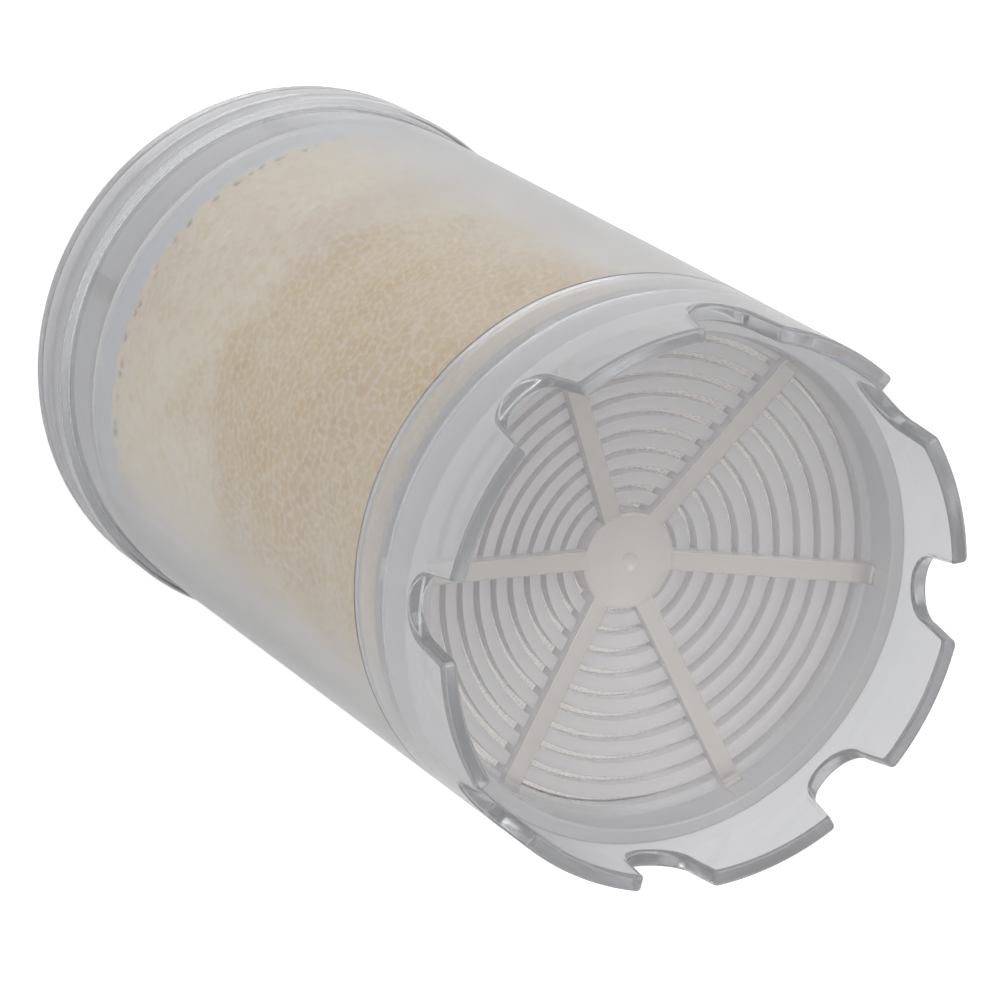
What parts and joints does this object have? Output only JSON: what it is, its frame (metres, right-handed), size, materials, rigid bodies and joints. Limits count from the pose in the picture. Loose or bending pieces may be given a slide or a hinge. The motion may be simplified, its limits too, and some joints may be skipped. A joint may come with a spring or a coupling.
{
  "type": "filter cartridge",
  "caption": "Clear cylindrical water filter cartridge for a hand shower, with castellated outlet collar, slotted grilles, felts and granule beds.",
  "frame": {"origin": "centre of the inlet flange's flat face, on which the cartridge stands", "axes": "+Z along the cartridge's axis, from the inlet flange to the castellated outlet rim; a rim notch lies on +X"},
  "size_m": [0.044, 0.044, 0.076],
  "materials": {
    "clear_shell": "clear, faintly milky moulded plastic",
    "clear_grille": "milky translucent moulded plastic",
    "screen": "fine woven screen",
    "felt": "pressed non-woven felt",
    "upper_granules": "cream and yellowish porous granules",
    "lower_granules": "pale porous granules"
  },
  "bodies": {
    "canister_body": {"canister": "clear_shell", "outlet_felt": "felt", "upper_bed": "upper_granules", "lower_bed": "lower_granules", "inlet_felt": "felt", "inlet_screen": "screen", "inlet_plug": "clear_grille"},
    "collar_body": {"collar": "clear_shell", "outlet_grille": "clear_grille", "outlet_screen": "screen"}
  },
  "joints": [
    {"name": "collar_lift", "type": "slide", "parent": "canister_body", "child": "collar_body", "axis": [0, 0, 1], "range_m": [0, 0.01]}
  ]
}
